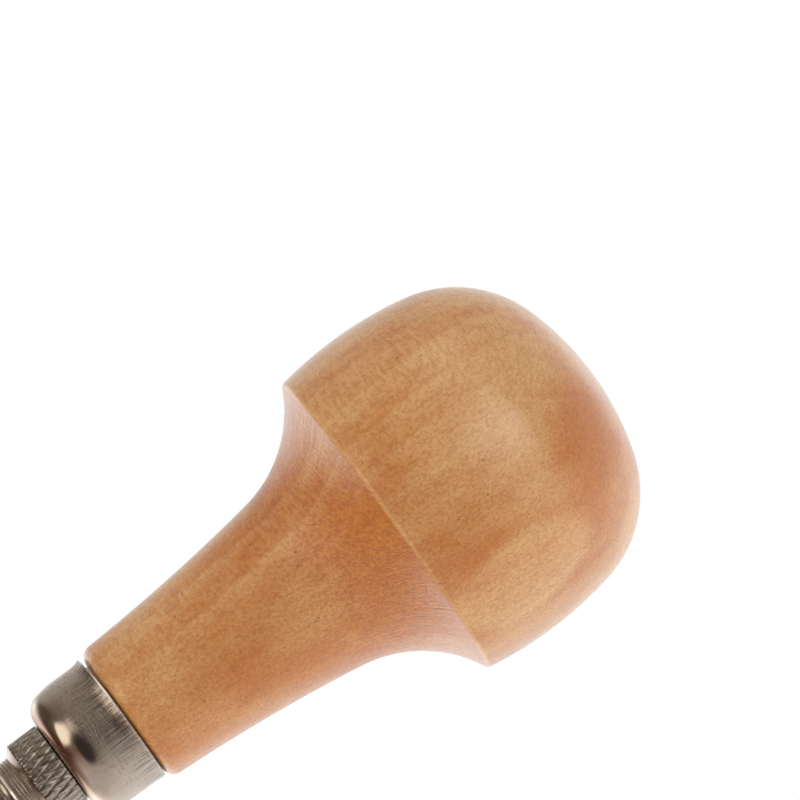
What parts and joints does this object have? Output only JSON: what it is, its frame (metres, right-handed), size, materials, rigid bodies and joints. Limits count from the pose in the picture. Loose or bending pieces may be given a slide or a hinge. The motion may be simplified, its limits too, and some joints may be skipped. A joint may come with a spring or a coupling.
{
  "type": "pin vise",
  "caption": "Hand-held pin vise with a mushroom-shaped turned wood handle, steel ferrule, knurled chuck body and a split collet that a chuck nut closes on small tool shanks.",
  "frame": {"origin": "middle of the collet's mouth, on the tool's axis", "axes": "+Z along the tool's axis, from the collet's mouth to the crown of the handle"},
  "size_m": [0.035, 0.035, 0.1038],
  "materials": {
    "lacquered_wood": "satin lacquer",
    "ferrule_steel": "drawn, satin",
    "chuck_steel": "turned and knurled",
    "nut_steel": "turned and knurled",
    "collet_steel": "hardened, dark"
  },
  "bodies": {
    "handle": {"wood_handle": "lacquered_wood", "ferrule": "ferrule_steel", "chuck_body": "chuck_steel"},
    "collet": {"collet_hub": "collet_steel"},
    "nut": {"chuck_nut": "nut_steel"},
    "jaw_1": {"collet_jaw_1": "collet_steel"},
    "jaw_2": {"collet_jaw_2": "collet_steel"},
    "jaw_3": {"collet_jaw_3": "collet_steel"},
    "jaw_4": {"collet_jaw_4": "collet_steel"}
  },
  "joints": [
    {"name": "collet_feed", "type": "slide", "parent": "handle", "child": "collet", "axis": [0, 0, -1], "range_m": [-0.0005, 0.00069]},
    {"name": "nut_turn", "type": "hinge", "parent": "collet", "child": "nut", "pos_m": [0, 0, 0.013], "axis": [0, 0, -1], "range_deg": [-245, 335]},
    {"name": "jaw_1_spring", "type": "hinge", "parent": "collet", "child": "jaw_1", "pos_m": [0.00103, 0.00103, 0.021], "axis": [0.7071, -0.7071, 0], "range_deg": [-0.45, 0.62]},
    {"name": "jaw_2_spring", "type": "hinge", "parent": "collet", "child": "jaw_2", "pos_m": [-0.00103, 0.00103, 0.021], "axis": [0.7071, 0.7071, 0], "range_deg": [-0.45, 0.62]},
    {"name": "jaw_3_spring", "type": "hinge", "parent": "collet", "child": "jaw_3", "pos_m": [-0.00103, -0.00103, 0.021], "axis": [-0.7071, 0.7071, 0], "range_deg": [-0.45, 0.62]},
    {"name": "jaw_4_spring", "type": "hinge", "parent": "collet", "child": "jaw_4", "pos_m": [0.00103, -0.00103, 0.021], "axis": [-0.7071, -0.7071, 0], "range_deg": [-0.45, 0.62]}
  ],
  "couplings": [
    {"joint": "nut_turn", "follows": "collet_feed", "rad_per_m": 8377.6},
    {"joint": "jaw_1_spring", "follows": "collet_feed", "rad_per_m": 15.142},
    {"joint": "jaw_2_spring", "follows": "collet_feed", "rad_per_m": 15.142},
    {"joint": "jaw_3_spring", "follows": "collet_feed", "rad_per_m": 15.142},
    {"joint": "jaw_4_spring", "follows": "collet_feed", "rad_per_m": 15.142}
  ]
}
